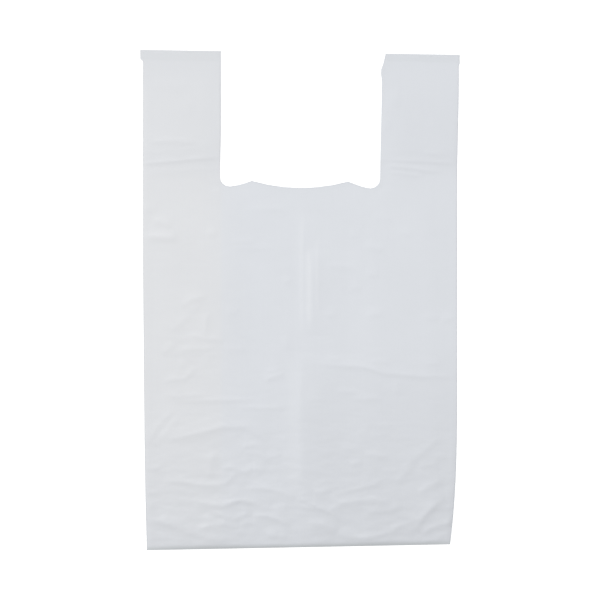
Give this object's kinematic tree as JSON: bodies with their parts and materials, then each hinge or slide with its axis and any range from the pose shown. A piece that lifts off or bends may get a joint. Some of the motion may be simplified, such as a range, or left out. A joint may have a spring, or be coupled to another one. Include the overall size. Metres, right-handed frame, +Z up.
{
  "type": "plastic carrier bag",
  "caption": "Flat white vest-style carrier bag of thin film: gusseted sides, welded bottom, punched mouth with a scalloped lip between its handles. For carrying shopping.",
  "frame": {"origin": "on the table, under the middle of the bag's outline", "axes": "+X across the bag, +Y along its length from the bottom weld to the handles, +Z up from the table"},
  "size_m": [0.3044, 0.478, 0.0026],
  "materials": {
    "film": "satin milky white film"
  },
  "bodies": {
    "root": {"carrier_bag": "film"}
  },
  "joints": []
}
